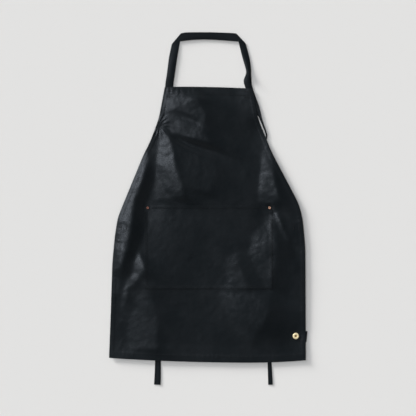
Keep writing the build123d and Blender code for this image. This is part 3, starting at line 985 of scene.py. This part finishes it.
# ---------------------------------------------------------------- metal
def metal_piece(name, centres, profile, body, node_name, mats, segments=64):
    """Round pieces from one profile of (radius, height) pairs, each about its own vertical axis."""
    angles = np.linspace(0, 2 * math.pi, segments, endpoint=False)
    radius, height = np.array(profile).T
    points, faces, painted = [], [], []
    for piece, (x, y) in enumerate(centres):
        start = len(points)
        for r, z in zip(radius, height):
            points += [(x + r * math.cos(angle), y + r * math.sin(angle), z) for angle in angles]
        for k in range(len(profile) - 1):
            for m in range(segments):
                a, b = start + k * segments + m, start + k * segments + (m + 1) % segments
                faces.append([a, b, b + segments, a + segments])
                painted.append(piece)
    obj = new_mesh(name, np.array(points), faces)
    obj.data.set_sharp_from_angle(angle=math.radians(50))
    for mat in mats:
        obj.data.materials.append(mat)
    obj.data.polygons.foreach_set("material_index", painted)
    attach(obj, body)
    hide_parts(node_name)


def arc(centre_r, centre_z, radius, start, stop, count):
    """Points of a rounded part of a profile, angles in degrees."""
    angles = np.radians(np.linspace(start, stop, count))
    return [(centre_r + radius * math.cos(a), centre_z + radius * math.sin(a)) for a in angles]


CAP_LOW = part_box("button_cap")[0].z / MM
CAP_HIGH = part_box("button_cap")[1].z / MM
ring_profile = (
    [(2.05, CAP_LOW + 1.4), (2.05, CAP_LOW), (7.6, CAP_LOW)]
    + arc(8.4, CAP_LOW + 1.6, 1.6, -90, 0, 6)
    + arc(7.6, CAP_HIGH - 2.4, 2.4, 0, 90, 9)
    + arc(4.7, CAP_HIGH - 1.2, 1.2, 90, 180, 7)
    + [(3.45, CAP_LOW + 1.7), (3.4, CAP_LOW + 1.45), (2.05, CAP_LOW + 1.4)]
)
metal_piece("button_ring", [BUTTON], ring_profile, "button", "button_cap", [BRASS])

CAP_BASE = CAPS_LOW.z / MM
CAP_TOP = CAPS_HIGH.z / MM
rivet_profile = (
    [(0.05, CAP_BASE), (RIVET_RADIUS - 0.4, CAP_BASE)]
    + arc(RIVET_RADIUS - 0.6, CAP_BASE + 0.6, 0.6, -60, 40, 5)
    + arc(RIVET_RADIUS - 2.2, CAP_TOP - 1.5, 1.5, 35, 90, 6)
    + [(1.9, CAP_TOP - 0.05), (1.5, CAP_TOP - 0.25), (0.05, CAP_TOP - 0.3)]
)
# the left rivet wears the copper painted darker as painted shade, the right one the plain copper
metal_piece("pocket_rivet_heads", RIVETS, rivet_profile, "apron", "pocket_rivet_caps",
            [SHADED_COPPER, COPPER])

paint(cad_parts["button_shank"], TACK_METAL)
paint(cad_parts["button_tack"], TACK_METAL)
paint(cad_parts["pocket_rivet_washers"], COPPER)

# ---------------------------------------------------------------- stage, light and camera
FLOOR = 30.0
FLOOR_Z = -0.0002
floor_mesh = bpy.data.meshes.new("floor")
floor_corners = [(x * FLOOR, y * FLOOR, FLOOR_Z) for x, y in ((-1, -1), (1, -1), (1, 1), (-1, 1))]
floor_mesh.from_pydata(floor_corners, [], [(0, 1, 2, 3)])
floor = bpy.data.objects.new("floor", floor_mesh)
bpy.context.scene.collection.objects.link(floor)
floor_mat, _, _ = material("pale_floor", (0.738, 0.724, 0.703), 0.9, Specular_IOR_Level=0.1)
floor_mesh.materials.append(floor_mat)

world = bpy.data.worlds.new("studio")
bpy.context.scene.world = world
world.use_nodes = True
tree = world.node_tree
background = tree.nodes["Background"]
direction = node(tree, "ShaderNodeTexCoord").outputs["Generated"]
split = node(tree, "ShaderNodeSeparateXYZ")
tree.links.new(direction, split.inputs[0])
lower_light = ramp(tree, split.outputs["Z"], 0.45, 0.88, 0.50, 0.11)  # dimmer towards the top
leftness = node(tree, "ShaderNodeVectorMath", operation="DOT_PRODUCT")
tree.links.new(direction, leftness.inputs[0])
leftness.inputs[1].default_value = (-0.80, 0.60, 0.0)
left_light = ramp(tree, leftness.outputs["Value"], -0.9, 0.9, 0.35, 1.65)  # brighter from the upper left
tree.links.new(math_node(tree, "MULTIPLY", lower_light, left_light), background.inputs["Strength"])
background.inputs["Color"].default_value = (1.0, 1.0, 1.0, 1)


def distant_light(name, azimuth, elevation, angle, power, color):
    """A wide soft light far away: azimuth from +X towards +Y, in degrees."""
    data = bpy.data.lights.new(name, "SUN")
    data.angle = math.radians(angle)
    data.energy = power
    data.color = color
    lamp = bpy.data.objects.new(name, data)
    turn, rise = math.radians(azimuth), math.radians(elevation)
    toward = Vector((math.cos(rise) * math.cos(turn), math.cos(rise) * math.sin(turn), math.sin(rise)))
    lamp.location = 5 * toward
    lamp.rotation_euler = toward.to_track_quat("Z", "Y").to_euler()
    bpy.context.scene.collection.objects.link(lamp)
    return lamp


distant_light("sheen_light", 154, 66, 14, 0.66, (0.92, 1.0, 1.12))
distant_light("key_light", 140, 38, 30, 0.3, (1.0, 1.0, 0.99))
fill_light = distant_light("fill_light", -60, 66, 50, 0.46, (1.0, 1.0, 0.99))
low_light = distant_light("low_light", 138, 11, 14, 6.2, (1.0, 1.0, 1.0))
for lamp in (fill_light, low_light):
    lamp.visible_glossy = False  # they give soft shadows, and no shine on the cloth

VIEW_WIDTH = 1.3312  # width that the picture takes in on the surface
VIEW_CENTRE = (-0.0013, -0.0342)
CAMERA_HEIGHT = 4.0
camera_data = bpy.data.cameras.new("camera")
camera_data.sensor_width = 36.0
camera_data.lens = camera_data.sensor_width * CAMERA_HEIGHT / VIEW_WIDTH
camera = bpy.data.objects.new("camera", camera_data)
camera.location = (*VIEW_CENTRE, CAMERA_HEIGHT)
bpy.context.scene.collection.objects.link(camera)
bpy.context.scene.camera = camera
bpy.context.scene.view_settings.view_transform = "Standard"
